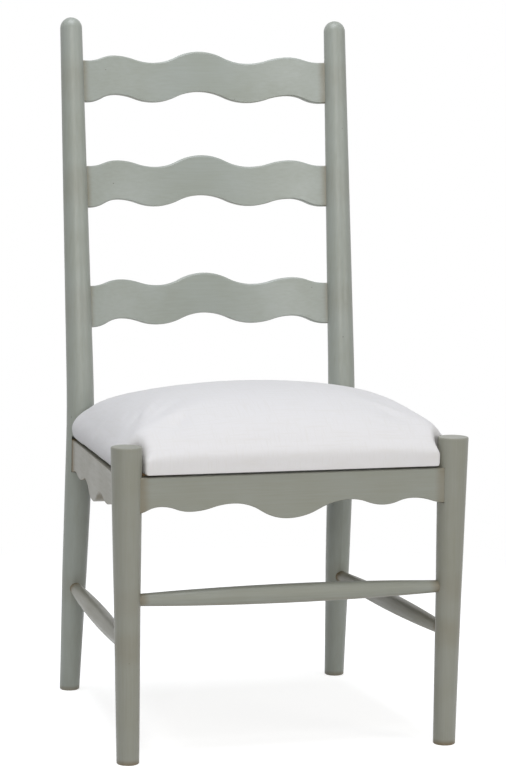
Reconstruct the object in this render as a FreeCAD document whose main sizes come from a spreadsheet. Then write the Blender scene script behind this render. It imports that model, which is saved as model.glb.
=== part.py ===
import math
import os

import FreeCAD
import Part
import Sketcher
from FreeCAD import Placement, Rotation, Vector

# Ladderback side chair with a painted turned frame and a screwed-on upholstered seat.
# Millimetres; +Z is up, the chair faces -Y, and the origin is on the floor under the middle of its box.

os.makedirs("parts", exist_ok=True)
doc = FreeCAD.newDocument("LadderbackChair")

# Driving sizes
sheet = doc.addObject("Spreadsheet::Sheet", "Sizes")
sheet_rows = [
    # Overall box
    ("overall_width", 529.2),
    ("overall_depth", 560.7),
    ("overall_height", 1050.0),
    # Front legs
    ("front_leg_height", 452.5),
    ("front_leg_top_radius", 22.3),
    ("front_leg_middle_radius", 18.8),
    ("front_leg_foot_radius", 16.2),
    ("front_leg_splay", 4.6),
    ("leg_rim_rounding", 1.6),
    ("foot_rounding", 1.2),
    # Rear posts
    ("post_top_radius", 16.9),
    ("post_back_radius", 19.2),
    ("post_seat_radius", 21.3),
    ("post_shin_radius", 19.5),
    ("post_foot_radius", 15.4),
    ("post_half_spacing", 212.0),
    ("post_foot_spread", 7.4),
    ("post_head_spread", 1.4),
    ("post_bend_height", 440.0),
    ("post_bend_reach", 70.0),
    ("post_rake", 72.6),
    ("post_kick", 42.0),
    # Joints
    ("joint_clearance", 0.2),
    ("tenon_end_clearance", 1.0),
    # Slats
    ("slat_thickness", 12.0),
    ("slat_end_height", 64.2),
    ("slat_bow", 43.0),
    ("slat_past_axis", 5.0),
    ("slat_edge_bevel", 1.8),
    ("top_slat_share", 0.8646),
    ("middle_slat_share", 0.5915),
    ("bottom_slat_share", 0.2811),
    ("slat_upper_centre_rise", 19.7),
    ("slat_upper_trough_rise", 0.8),
    ("slat_upper_crest_rise", 10.1),
    ("slat_lower_centre_rise", 21.0),
    ("slat_lower_trough_rise", 3.3),
    ("slat_lower_crest_rise", 13.5),
    ("slat_trough_place", 78.0),
    ("slat_crest_place", 139.0),
    ("slat_wave_end_place", 190.0),
    # Aprons
    ("apron_below_leg_top", 43.2),
    ("apron_thickness", 20.0),
    ("front_apron_set_forward", 13.5),
    ("side_apron_set_out", 14.0),
    ("apron_short_of_axis", 9.0),
    ("apron_edge_bevel", 1.2),
    ("front_lobe_shift", 9.0),
    ("front_arch_shift", 2.5),
    ("front_centre_lobe_depth", 64.6),
    ("front_arch_depth", 40.6),
    ("front_side_lobe_depth", 50.2),
    ("front_end_arch_depth", 41.8),
    ("front_end_depth", 51.0),
    ("front_arch_place", 86.5),
    ("front_side_lobe_place", 143.0),
    ("front_end_arch_place", 187.0),
    ("side_centre_lobe_depth", 66.0),
    ("side_arch_depth", 43.0),
    ("side_small_lobe_depth", 51.5),
    ("side_end_arch_depth", 46.0),
    ("side_end_depth", 51.0),
    ("side_arch_place", 70.0),
    ("side_small_lobe_place", 122.0),
    ("side_end_arch_place", 160.0),
    ("rear_apron_height", 80.0),
    # Stretchers
    ("front_stretcher_level", 234.2),
    ("side_stretcher_level", 167.0),
    ("stretcher_middle_radius", 13.9),
    ("stretcher_end_radius", 8.3),
    ("stretcher_short_of_axis", 6.0),
    # Seat
    ("seat_shadow_gap", 3.2),
    ("seat_fall", 5.0),
    ("seat_front_overhang", 16.5),
    ("seat_rear_setback", 4.0),
    ("seat_front_half_width", 253.0),
    ("seat_side_taper", 0.0526),
    ("seat_to_leg_gap", 2.0),
    ("seat_notch_corner_radius", 8.0),
    ("cushion_height", 104.0),
    ("cushion_top_share", 0.4575),
    ("cushion_rear_drop_share", 0.764),
    ("cushion_front_roll", 42.0),
    ("cushion_rear_roll", 26.0),
    ("cushion_roll_share", 0.8),
    ("cushion_side_face", 16.0),
    ("cushion_corner_share", 0.81),
    ("cushion_drawn_in", 4.0),
    ("cover_thickness", 1.5),
    ("cover_turn_under", 34.0),
    ("opening_front_cut_across", 14.0),
    ("opening_front_cut_along", 18.0),
    ("opening_rear_cut_across", 26.0),
    ("opening_rear_cut_along", 34.0),
    ("board_thickness", 12.0),
    ("dust_cover_thickness", 0.5),
    ("dust_cover_edge_gap", 3.0),
    # Corner blocks and screws
    ("block_height", 28.0),
    ("block_near_leg", 30.0),
    ("block_far_leg", 90.0),
    ("screw_from_corner", 36.0),
    ("screw_shank_radius", 2.2),
    ("screw_head_radius", 4.4),
    ("screw_head_height", 2.8),
    ("screw_head_bevel", 1.2),
    ("screw_hold_in_board", 9.0),
    ("screw_clearance", 0.5),
]
for row, (alias, value) in enumerate(sheet_rows, start=1):
    sheet.set("A" + str(row), alias)
    sheet.set("B" + str(row), str(value))
    sheet.setAlias("B" + str(row), alias)
doc.recompute()


def size(alias):
    return float(sheet.get(alias))


# Places that follow from the sizes
front_leg_x = size("overall_width") / 2 - size("front_leg_top_radius")
front_leg_y = -size("overall_depth") / 2 + size("front_leg_top_radius")
dome_height = size("overall_height") - size("post_top_radius")
bend_height = size("post_bend_height")
rake_slope = size("post_rake") / (dome_height - bend_height)
rake_angle = math.degrees(math.atan(rake_slope))

# Slat levels are shares of the raked length of the post, from the bend up
slat_names = ("top_slat", "middle_slat", "bottom_slat")
slat_levels = [bend_height + size(name + "_share") * (dome_height - bend_height) for name in slat_names]

# The bowed top slat reaches furthest back, just under its bevelled upper edge
slat_bevel = size("slat_edge_bevel")
slat_back = size("slat_bow") + size("slat_thickness") / 2
slat_crown = size("slat_end_height") / 2 + size("slat_upper_centre_rise") - slat_bevel
lean = math.radians(rake_angle)
slat_reach_back = slat_back * math.cos(lean) + slat_crown * math.sin(lean)
dome_y = size("overall_depth") / 2 - slat_reach_back + (dome_height - slat_levels[0]) * rake_slope
bend_y = dome_y - size("post_rake")
kick_slope = -size("post_kick") / bend_height
clearance = size("joint_clearance")
apron_top = size("front_leg_height") - size("apron_below_leg_top")


def front_leg_place(z):
    inward = size("front_leg_splay") * (1 - z / size("front_leg_height"))
    return Vector(front_leg_x - inward, front_leg_y, z)


def post_place(z):
    # Two straight lengths joined by a bend as long as the bend reach on either side
    rise = z - bend_height
    y = bend_y + rise * (rake_slope if rise > 0 else kick_slope)
    near = size("post_bend_reach") - abs(rise)
    if near > 0:
        y += (rake_slope - kick_slope) * near ** 2 / (4 * size("post_bend_reach"))
    spread = size("post_foot_spread") * max(0.0, -rise / bend_height)
    spread += size("post_head_spread") * max(0.0, rise / (dome_height - bend_height))
    return Vector(size("post_half_spacing") + spread, y, z)


def through_three(position, places, values):
    total = 0.0
    for index in range(3):
        weight = 1.0
        for other in range(3):
            if other != index:
                weight *= (position - places[other]) / (places[index] - places[other])
        total += weight * values[index]
    return total


def front_leg_radius(z):
    height = size("front_leg_height")
    radii = [size(name) for name in ("front_leg_foot_radius", "front_leg_middle_radius", "front_leg_top_radius")]
    return through_three(z, (0.0, height / 2, height), radii)


def post_radius(z):
    if z < bend_height:
        places = (0.0, bend_height / 2, bend_height)
        names = ("post_foot_radius", "post_shin_radius", "post_seat_radius")
    else:
        places = (bend_height, (bend_height + dome_height) / 2, dome_height)
        names = ("post_seat_radius", "post_back_radius", "post_top_radius")
    return through_three(z, places, [size(name) for name in names])


# Building helpers
def new_body(label):
    body = doc.addObject("PartDesign::Body", label)
    body.Label = label
    return body


def new_sketch(body, name, place):
    sketch = body.newObject("Sketcher::SketchObject", name)
    plane = [item for item in body.Origin.OriginFeatures if item.Role == "XY_Plane"][0]
    sketch.AttachmentSupport = [(plane, "")]
    sketch.MapMode = "FlatFace"
    sketch.AttachmentOffset = place
    return sketch


def upright(place):
    # A sketch plane that stands up: its x stays and its y becomes +Z
    return place.multiply(Placement(Vector(), Rotation(Vector(1, 0, 0), 90)))


def add_circle(sketch, radius, centre=Vector()):
    index = sketch.addGeometry(Part.Circle(centre, Vector(0, 0, 1), radius))
    sketch.addConstraint(Sketcher.Constraint("Radius", index, radius))


def add_lines(sketch, points):
    for start, end in zip(points, points[1:]):
        sketch.addGeometry(Part.LineSegment(Vector(start[0], start[1], 0), Vector(end[0], end[1], 0)))


def add_ring(sketch, radius):
    # A full turn in quarter arcs, so that a loft through rings gets four faces
    def on_ring(eighths):
        return Vector(radius * math.cos(eighths * math.pi / 4), radius * math.sin(eighths * math.pi / 4), 0)

    for start in (0, 2, 4, 6):
        sketch.addGeometry(Part.ArcOfCircle(on_ring(start), on_ring(start + 1), on_ring(start + 2)))


def add_polygon(sketch, points):
    add_lines(sketch, points + points[:1])


def add_rectangle(sketch, left, right, low, high):
    add_polygon(sketch, [(left, low), (right, low), (right, high), (left, high)])


def wave_curves(turns):
    # Turning points of a wave joined by pairs of equal arcs that are level at each turning point
    curves = []
    for (x1, z1), (x2, z2) in zip(turns, turns[1:]):
        across = x2 - x1
        up = z2 - z1
        if abs(up) < 0.01:
            curves.append(Part.LineSegment(Vector(x1, z1, 0), Vector(x2, z2, 0)))
            continue
        radius = (across ** 2 + up ** 2) / (4 * abs(up))
        half_turn = math.asin(across / 2 / radius) / 2
        reach = radius * math.sin(half_turn)
        sag = math.copysign(radius * (1 - math.cos(half_turn)), up)
        middle = Vector((x1 + x2) / 2, (z1 + z2) / 2, 0)
        curves.append(Part.ArcOfCircle(Vector(x1, z1, 0), Vector(x1 + reach, z1 + sag, 0), middle))
        curves.append(Part.ArcOfCircle(middle, Vector(x2 - reach, z2 - sag, 0), Vector(x2, z2, 0)))
    return curves


def pad(body, sketch, length, reverse=False, midplane=False, name="Pad"):
    feature = body.newObject("PartDesign::Pad", name)
    feature.Profile = sketch
    feature.Length = length
    feature.Midplane = midplane
    feature.Reversed = reverse
    return feature


def pocket(body, sketch, length, reverse=False, midplane=False, name="Pocket"):
    doc.recompute()
    before = body.Shape.Volume
    feature = body.newObject("PartDesign::Pocket", name)
    feature.Profile = sketch
    feature.Length = length
    feature.Midplane = midplane
    feature.Reversed = reverse
    doc.recompute()
    if body.Shape.Volume > before - 1.0:
        feature.Reversed = not reverse
        doc.recompute()
    return feature


def bevel_edges(body, width, chosen, name):
    doc.recompute()
    base = body.Tip
    names = ["Edge%d" % (number + 1) for number, edge in enumerate(base.Shape.Edges) if chosen(edge)]
    feature = body.newObject("PartDesign::Chamfer", name)
    feature.Base = (base, names)
    feature.Size = width
    doc.recompute()


def along_axis(start, end):
    # A sketch plane through an axis: its y runs from the start towards the end
    return upright(Placement(start, Rotation(Vector(0, 0, 1), end.sub(start))))


def turn(body, name, place, length, radii):
    # Turns a barrel about the plane's y axis: one arc through the radii at its start, middle and end
    outline = new_sketch(body, name + "_outline", place)
    start, middle, end = radii
    outline.addGeometry(Part.ArcOfCircle(Vector(start, 0, 0), Vector(middle, length / 2, 0), Vector(end, length, 0)))
    add_lines(outline, [(end, length), (0, length), (0, 0), (start, 0)])
    turned = body.newObject("PartDesign::Revolution", name)
    turned.Profile = outline
    turned.ReferenceAxis = (outline, ["V_Axis"])
    turned.Angle = 360.0


def loft_rings(body, name, rings):
    # Straight lengths between level rings, each given by its centre and radius
    sketches = []
    for number, (centre, radius) in enumerate(rings):
        ring = new_sketch(body, "%s_ring_%d" % (name, number), Placement(centre, Rotation()))
        add_ring(ring, radius)
        sketches.append(ring)
    loft = body.newObject("PartDesign::AdditiveLoft", name)
    loft.Profile = sketches[0]
    loft.Sections = sketches[1:]
    loft.Ruled = True
    return loft


def mirrored(source, label):
    copy = doc.addObject("Part::Mirroring", label)
    copy.Label = label
    copy.Source = source
    copy.Normal = Vector(1, 0, 0)
    return copy


doc.recompute()


# Slats: a bowed board on the raked part of the posts, with a wavy upper and lower edge
post_x = size("post_half_spacing")
slat_radius = (post_x ** 2 + size("slat_bow") ** 2) / (2 * size("slat_bow"))
slat_centre = Vector(0, size("slat_bow") - slat_radius, 0)
slat_reach = post_x + size("slat_past_axis")


def slat_frame(level):
    return Placement(Vector(0, post_place(level).y, level), Rotation(Vector(1, 0, 0), -rake_angle))


def bow_point(radius, x):
    return Vector(x, slat_centre.y + math.sqrt(radius ** 2 - x ** 2), 0)


def add_bow_band(sketch, left, right, half_thickness):
    outer = slat_radius + half_thickness
    inner = slat_radius - half_thickness
    middle = (left + right) / 2
    ends = [bow_point(inner, left), bow_point(inner, right), bow_point(outer, right), bow_point(outer, left)]
    sketch.addGeometry(Part.ArcOfCircle(ends[0], bow_point(inner, middle), ends[1]))
    sketch.addGeometry(Part.LineSegment(ends[1], ends[2]))
    sketch.addGeometry(Part.ArcOfCircle(ends[3], bow_point(outer, middle), ends[2]))
    sketch.addGeometry(Part.LineSegment(ends[3], ends[0]))


def both_ways(half_turns):
    # A wave given from the middle outwards, made whole by its mirror image
    left = [(-x, z) for x, z in reversed(half_turns) if x > 0]
    return left + half_turns


def make_slat(label, level):
    slat = new_body(label)
    slat.Placement = slat_frame(level)
    half = size("slat_end_height") / 2
    crown = half + size("slat_upper_centre_rise")
    blank = new_sketch(slat, label + "_bow", Placement(Vector(0, 0, -half), Rotation()))
    add_bow_band(blank, -slat_reach, slat_reach, size("slat_thickness") / 2)
    pad(slat, blank, crown + half, name=label + "_blank")
    upper = [
        (0.0, crown),
        (size("slat_trough_place"), half + size("slat_upper_trough_rise")),
        (size("slat_crest_place"), half + size("slat_upper_crest_rise")),
        (size("slat_wave_end_place"), half),
    ]
    lower = [
        (0.0, -half + size("slat_lower_centre_rise")),
        (size("slat_trough_place"), -half + size("slat_lower_trough_rise")),
        (size("slat_crest_place"), -half + size("slat_lower_crest_rise")),
        (size("slat_wave_end_place"), -half),
    ]
    end = slat_reach + size("slat_thickness")
    through = 2 * (size("slat_bow") + size("slat_thickness"))
    for name, wave, beyond in (("upper", upper, crown + half), ("lower", lower, -crown - half)):
        turns = both_ways(wave)
        level_end = turns[0][1]
        cut = new_sketch(slat, label + "_" + name, upright(Placement()))
        for curve in wave_curves(turns):
            cut.addGeometry(curve)
        add_lines(cut, [
            (turns[-1][0], level_end), (end, level_end), (end, beyond),
            (-end, beyond), (-end, level_end), (turns[0][0], level_end),
        ])
        pocket(slat, cut, 2 * through, midplane=True, name=label + "_cut_" + name)

    def wavy(edge):
        middle = edge.valueAt((edge.FirstParameter + edge.LastParameter) / 2)
        return abs(middle.x) < size("slat_wave_end_place") and edge.Length > 2 * size("slat_thickness")

    bevel_edges(slat, slat_bevel, wavy, label + "_bevel")


for label, level in zip(slat_names, slat_levels):
    make_slat(label, level)


# Lines of the side aprons and side stretchers, from the front leg to the rear post
def side_line(height):
    front = front_leg_place(height)
    rear = post_place(height)
    run = rear.sub(front)
    return front, math.degrees(math.atan2(run.y, run.x)), run.Length


side_height = apron_top - size("side_arch_depth")
side_start, side_angle, side_length = side_line(side_height)
side_frame = Placement(Vector(side_start.x, side_start.y, 0), Rotation(Vector(0, 0, 1), side_angle))
side_first = size("apron_short_of_axis")
side_last = side_length - size("apron_short_of_axis")
side_low = apron_top - size("seat_fall") - size("side_end_depth")
thickness = size("apron_thickness")
set_out = size("side_apron_set_out")


def fall_at(y):
    # How far the seat and the side aprons' tops drop at a place behind the front legs
    return size("seat_fall") * (y - front_leg_y) / (bend_y - front_leg_y)


# Front apron
front_half = front_leg_x - size("apron_short_of_axis")
front_face_y = front_leg_y - size("front_apron_set_forward")
front_low = apron_top - size("front_end_depth")


def make_front_apron():
    apron = new_body("front_apron")
    turns = [
        (0.0, apron_top - size("front_centre_lobe_depth")),
        (size("front_arch_place"), apron_top - size("front_arch_depth")),
        (size("front_side_lobe_place"), apron_top - size("front_side_lobe_depth")),
        (size("front_end_arch_place"), apron_top - size("front_end_arch_depth")),
    ]
    arch = size("front_arch_place")
    shift = {True: size("front_arch_shift"), False: size("front_lobe_shift")}
    turns = [(x - shift[abs(x) == arch], z) for x, z in both_ways(turns)]
    turns = [(-front_half, front_low)] + turns + [(front_half, front_low)]
    front_face = Placement(Vector(0, front_face_y, 0), Rotation())
    outline = new_sketch(apron, "front_apron_outline", upright(front_face))
    for curve in wave_curves(turns):
        outline.addGeometry(curve)
    add_lines(outline, [
        (front_half, front_low), (front_half, apron_top), (-front_half, apron_top), (-front_half, front_low),
    ])
    board = pad(apron, outline, thickness, reverse=True, name="front_apron_board")
    board.setExpression("Length", "Sizes.apron_thickness")

    def front_edge(edge):
        middle = edge.valueAt((edge.FirstParameter + edge.LastParameter) / 2)
        return abs(middle.y - front_face_y) < 0.01 and abs(middle.x) < front_half - 0.01

    bevel_edges(apron, size("apron_edge_bevel"), front_edge, "front_apron_bevel")


make_front_apron()


# Side aprons: the scallop follows the fall of the seat
def make_side_apron(label):
    apron = new_body(label)
    apron.Placement = side_frame
    middle = side_length / 2

    def top(s):
        return apron_top - size("seat_fall") * s / side_length

    half_turns = [
        (0.0, size("side_centre_lobe_depth")),
        (size("side_arch_place"), size("side_arch_depth")),
        (size("side_small_lobe_place"), size("side_small_lobe_depth")),
        (size("side_end_arch_place"), size("side_end_arch_depth")),
    ]
    turns = [(middle + x, top(middle + x) - depth) for x, depth in both_ways(half_turns)]
    first = (side_first, top(side_first) - size("side_end_depth"))
    last = (side_last, top(side_last) - size("side_end_depth"))
    turns = [first] + turns + [last]
    outline = new_sketch(apron, label + "_outline", upright(Placement(Vector(0, -set_out, 0), Rotation())))
    for curve in wave_curves(turns):
        outline.addGeometry(curve)
    add_lines(outline, [last, (side_last, top(side_last)), (side_first, top(side_first)), first])
    board = pad(apron, outline, thickness, reverse=True, name=label + "_board")
    board.setExpression("Length", "Sizes.apron_thickness")

    def outer_edge(edge):
        point = edge.valueAt((edge.FirstParameter + edge.LastParameter) / 2)
        return abs(point.y + set_out) < 0.01 and side_first + 0.01 < point.x < side_last - 0.01

    bevel_edges(apron, size("apron_edge_bevel"), outer_edge, label + "_bevel")
    return apron


side_apron = make_side_apron("side_apron_right")
mirrored(side_apron, "side_apron_left")

# Rear apron: a plain board between the rear posts
rear_top = apron_top - size("seat_fall")
rear_low = rear_top - size("rear_apron_height")
rear_axis_y = post_place((rear_top + rear_low) / 2).y
rear_half = post_x - size("apron_short_of_axis")
rear_apron = new_body("rear_apron")
rear_middle = Placement(Vector(0, rear_axis_y, 0), Rotation())
rear_outline = new_sketch(rear_apron, "rear_apron_outline", upright(rear_middle))
add_rectangle(rear_outline, -rear_half, rear_half, rear_low, rear_top)
rear_board = pad(rear_apron, rear_outline, thickness, midplane=True, name="rear_apron_board")
rear_board.setExpression("Length", "Sizes.apron_thickness")


# Stretchers: turned, thickest in the middle, with the ends in round sockets
def make_stretcher(label, left, right):
    stretcher = new_body(label)
    waist = size("stretcher_middle_radius")
    end = size("stretcher_end_radius")
    turn(stretcher, label + "_turned", along_axis(left, right), right.sub(left).Length, (end, waist, end))
    return stretcher


short = size("stretcher_short_of_axis")
front_stretcher_leg = front_leg_place(size("front_stretcher_level"))
front_stretcher_half = front_stretcher_leg.x - short
front_stretcher_end = Vector(front_stretcher_half, front_stretcher_leg.y, front_stretcher_leg.z)
make_stretcher("front_stretcher", front_stretcher_end.sub(Vector(2 * front_stretcher_half, 0, 0)), front_stretcher_end)
low_start, low_angle, low_length = side_line(size("side_stretcher_level"))
low_frame = Placement(low_start, Rotation(Vector(0, 0, 1), low_angle))
side_stretcher_half = low_length / 2 - short
side_stretcher_frame = low_frame.multiply(Placement(Vector(low_length / 2, 0, 0), Rotation()))
side_stretcher = make_stretcher(
    "side_stretcher_right",
    low_frame.multVec(Vector(short, 0, 0)),
    low_frame.multVec(Vector(low_length - short, 0, 0)),
)
mirrored(side_stretcher, "side_stretcher_left")

end_clearance = size("tenon_end_clearance")
quarter_turn = Placement(Vector(), Rotation(Vector(0, 1, 0), 90))


def cut_sockets_for_side_pieces(body, name):
    # One slot for the side apron and one round socket for the side stretcher, on the line between the legs
    frame = side_frame.multiply(Placement(Vector(side_length / 2, 0, 0), Rotation()))
    slot = new_sketch(body, name + "_side_slot", upright(frame).multiply(quarter_turn))
    low = apron_top - size("seat_fall") - size("side_end_depth") - clearance
    add_rectangle(slot, -set_out - clearance, -set_out + thickness + clearance, low, apron_top + clearance)
    pocket(body, slot, side_last - side_length / 2 + end_clearance, midplane=False, name=name + "_side_slot_cut")
    hole = new_sketch(body, name + "_side_socket", upright(side_stretcher_frame).multiply(quarter_turn))
    add_circle(hole, size("stretcher_end_radius") + clearance)
    pocket(body, hole, side_stretcher_half + end_clearance, midplane=False, name=name + "_side_socket_cut")


# Front legs
def make_front_leg(label):
    leg = new_body(label)
    height = size("front_leg_height")
    rim = size("leg_rim_rounding")
    foot = size("foot_rounding")
    rings = [(front_leg_place(0.0), front_leg_radius(0.0) - foot)]
    rings += [(front_leg_place(level), front_leg_radius(level)) for level in (foot, height / 2)]
    for step in (0, 45, 90):
        bend = math.radians(step)
        level = height - rim * (1 - math.sin(bend))
        rings.append((front_leg_place(level), front_leg_radius(height) - rim * (1 - math.cos(bend))))
    loft_rings(leg, label + "_turned", rings)
    across = upright(Placement()).multiply(quarter_turn)
    slot = new_sketch(leg, label + "_front_slot", across)
    back_face_y = front_face_y + thickness
    add_rectangle(slot, front_face_y - clearance, back_face_y + clearance, front_low - clearance, apron_top + clearance)
    pocket(leg, slot, front_half + end_clearance, name=label + "_front_slot_cut")
    hole = new_sketch(leg, label + "_front_socket", across)
    socket = Vector(front_leg_y, size("front_stretcher_level"), 0)
    add_circle(hole, size("stretcher_end_radius") + clearance, socket)
    pocket(leg, hole, front_stretcher_half + end_clearance, name=label + "_front_socket_cut")
    cut_sockets_for_side_pieces(leg, label)
    return leg


front_leg = make_front_leg("front_leg_right")
mirrored(front_leg, "front_leg_left")


# Rear posts
def make_rear_post(label):
    post = new_body(label)
    bend_low = bend_height - size("post_bend_reach")
    bend_high = bend_height + size("post_bend_reach")
    foot = size("foot_rounding")
    levels = [foot, bend_low / 2]
    levels += [bend_low + (bend_high - bend_low) * step / 5 for step in range(6)]
    levels += [(bend_high + dome_height) / 2, dome_height]
    rings = [(post_place(0.0), post_radius(0.0) - foot)]
    rings += [(post_place(level), post_radius(level)) for level in levels]
    loft_rings(post, label + "_shaft", rings)
    dome = new_sketch(post, label + "_dome_profile", upright(Placement(post_place(dome_height), Rotation())))
    top = size("post_top_radius")
    diagonal = top * math.sqrt(0.5)
    dome.addGeometry(Part.ArcOfCircle(Vector(top, 0, 0), Vector(diagonal, diagonal, 0), Vector(0, top, 0)))
    add_lines(dome, [(0, top), (0, 0), (top, 0)])
    cap = post.newObject("PartDesign::Revolution", label + "_dome")
    cap.Profile = dome
    cap.ReferenceAxis = (dome, ["V_Axis"])
    cap.Angle = 360.0
    doc.recompute()
    for number, level in enumerate(slat_levels):
        slot = new_sketch(post, "%s_slat_slot_%d" % (label, number), slat_frame(level))
        outside = post_x - 2 * size("post_seat_radius")
        add_bow_band(slot, outside, slat_reach + end_clearance, size("slat_thickness") / 2 + clearance)
        height = size("slat_end_height") + 2 * clearance
        pocket(post, slot, height, midplane=True, name="%s_slat_cut_%d" % (label, number))
    across = upright(Placement()).multiply(quarter_turn)
    slot = new_sketch(post, label + "_rear_slot", across)
    half_slot = thickness / 2 + clearance
    add_rectangle(slot, rear_axis_y - half_slot, rear_axis_y + half_slot, rear_low - clearance, rear_top + clearance)
    pocket(post, slot, rear_half + end_clearance, name=label + "_rear_slot_cut")
    cut_sockets_for_side_pieces(post, label)
    return post


rear_post = make_rear_post("rear_post_right")
mirrored(rear_post, "rear_post_left")


# Seat: its own frame starts at the front legs' line, on the plane that rests on the corner blocks
seat_depth = bend_y - front_leg_y
seat_angle = math.degrees(math.atan(size("seat_fall") / seat_depth))
rest_height = apron_top + size("seat_shadow_gap")
seat_frame = Placement(Vector(0, front_leg_y, rest_height), Rotation(Vector(1, 0, 0), -seat_angle))
seat_front = -size("seat_front_overhang")
seat_rear = rear_axis_y + thickness / 2 - front_leg_y - size("seat_rear_setback")
crown_peak = size("cushion_height")


# The crown's line along the middle is one long arc, lower at the rear than at its top
crown_place = seat_front + size("cushion_top_share") * (seat_rear - seat_front)
crown_height = crown_peak - size("cushion_side_face")
rear_drop = size("cushion_rear_drop_share") * crown_height
crown_radius = ((seat_rear - crown_place) ** 2 + rear_drop ** 2) / (2 * rear_drop)


def crown_rise(y, front, rear, lowered):
    # Height over the side faces along the middle: the long arc rolls down at the front and at the rear
    away = y - crown_place
    rise = crown_height - lowered - crown_radius + math.sqrt(crown_radius ** 2 - away ** 2)
    for edge, roll in ((y - front, size("cushion_front_roll")), (rear - y, size("cushion_rear_roll"))):
        if edge < roll:
            dip = 1 - math.sqrt(max(0.0, 1 - (1 - edge / roll) ** 2))
            rise *= 1 - size("cushion_roll_share") * dip
    return rise


def half_width(y, inset):
    return size("seat_front_half_width") - size("seat_side_taper") * (y - seat_front) - inset


def add_cushion_section(sketch, width, rise, low):
    # Drawn-in sides, two corner arcs and a crown that meets them without a break
    face = size("cushion_side_face")
    height = face + rise
    drawn_in = size("cushion_drawn_in")
    corner = size("cushion_corner_share") * rise
    crown = (width ** 2 - 2 * corner * width + rise ** 2) / (2 * (rise - corner))
    lean = math.asin((width - corner) / (crown - corner))
    join_x = crown * math.sin(lean)
    join_z = height - crown + crown * math.cos(lean)
    half_lean = (math.pi / 2 + lean) / 2
    corner_x = width - corner + corner * math.sin(half_lean)
    corner_z = face + corner * math.cos(half_lean)
    bulge = (drawn_in ** 2 + (face - low) ** 2) / (2 * drawn_in)
    turn = math.asin((face - low) / bulge) / 2
    side_x = width - bulge + bulge * math.cos(turn)
    side_z = face - bulge * math.sin(turn)
    right = [Vector(width - drawn_in, low, 0), Vector(side_x, side_z, 0), Vector(width, face, 0)]
    right += [Vector(corner_x, corner_z, 0), Vector(join_x, join_z, 0)]
    left = [Vector(-point.x, point.y, 0) for point in right]
    sketch.addGeometry(Part.LineSegment(left[0], right[0]))
    sketch.addGeometry(Part.ArcOfCircle(right[0], right[1], right[2]))
    sketch.addGeometry(Part.ArcOfCircle(right[2], right[3], right[4]))
    sketch.addGeometry(Part.ArcOfCircle(right[4], Vector(0, height, 0), left[4]))
    sketch.addGeometry(Part.ArcOfCircle(left[4], left[3], left[2]))
    sketch.addGeometry(Part.ArcOfCircle(left[2], left[1], left[0]))


leg_gap = size("seat_to_leg_gap")
front_notch_x = front_leg_x - size("front_leg_top_radius") - leg_gap
front_notch_y = size("front_leg_top_radius") + leg_gap
rear_notch_x = post_x - size("post_seat_radius") - leg_gap
rear_notch_y = post_place(apron_top).y - front_leg_y - size("post_seat_radius") - leg_gap


def add_notches(body, name, inset):
    # Four corner cuts that clear the legs and posts
    beyond = size("overall_width")
    for side in (-1, 1):
        for corner, inner_x, inner_y, outer_y in (
            ("front", front_notch_x - inset, front_notch_y + inset, -beyond),
            ("rear", rear_notch_x - inset, rear_notch_y - inset, beyond),
        ):
            label = "%s_%s_%s_notch" % (name, corner, "left" if side < 0 else "right")
            cut = new_sketch(body, label, Placement(Vector(0, 0, -crown_peak), Rotation()))
            radius = size("seat_notch_corner_radius") + inset
            way = 1 if outer_y < 0 else -1
            share = radius * (1 - math.sqrt(0.5))
            start = Vector(side * inner_x, inner_y - way * radius, 0)
            bend = Vector(side * (inner_x + share), inner_y - way * share, 0)
            stop = Vector(side * (inner_x + radius), inner_y, 0)
            corners = [stop, Vector(side * beyond, inner_y, 0), Vector(side * beyond, outer_y, 0)]
            corners += [Vector(side * inner_x, outer_y, 0), start]
            cut.addGeometry(Part.ArcOfCircle(start, bend, stop))
            add_lines(cut, corners)
            pocket(body, cut, 3 * crown_peak, reverse=True, name=label + "_cut")


def make_cushion(label, inset, spans):
    # The whole stuffed form; the inset gives the space inside the cover
    cushion = new_body(label)
    cushion.Placement = seat_frame
    front = seat_front + inset
    rear = seat_rear - inset
    front_roll = size("cushion_front_roll")
    rear_roll = size("cushion_rear_roll")
    roll_turns = (0, 32, 62)
    places = [front + front_roll * (1 - math.cos(math.radians(step))) for step in roll_turns]
    between = rear - rear_roll - front - front_roll
    places += [front + front_roll + between * step / spans for step in range(spans + 1)]
    places += [rear - rear_roll * (1 - math.cos(math.radians(step))) for step in reversed(roll_turns)]
    sections = []
    for number, y in enumerate(places):
        section = new_sketch(cushion, "%s_section_%d" % (label, number), upright(Placement(Vector(0, y, 0), Rotation())))
        add_cushion_section(section, half_width(y, inset), crown_rise(y, front, rear, inset), inset)
        sections.append(section)
    stuffed = cushion.newObject("PartDesign::AdditiveLoft", label + "_stuffed")
    stuffed.Profile = sections[0]
    stuffed.Sections = sections[1:]
    add_notches(cushion, label, inset)
    return cushion


cover_thickness = size("cover_thickness")
cushion_outside = make_cushion("cushion_outside", 0.0, 3)
cushion_inside = make_cushion("cushion_inside", cover_thickness, 3)

# Seat board: plywood with the four notches and blind screw holes underneath
board_inset = cover_thickness + size("cushion_drawn_in")
board_blank = new_body("board_blank")
board_blank.Placement = seat_frame
board_outline = new_sketch(board_blank, "board_outline", Placement(Vector(0, 0, cover_thickness), Rotation()))
board_front = seat_front + cover_thickness
board_rear = seat_rear - cover_thickness
front_width = half_width(board_front, board_inset)
rear_width = half_width(board_rear, board_inset)
add_polygon(
    board_outline,
    [(-front_width, board_front), (front_width, board_front), (rear_width, board_rear), (-rear_width, board_rear)],
)
board_pad = pad(board_blank, board_outline, size("board_thickness"), name="board_pad")
board_pad.setExpression("Length", "Sizes.board_thickness")
add_notches(board_blank, "board", cover_thickness)

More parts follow.
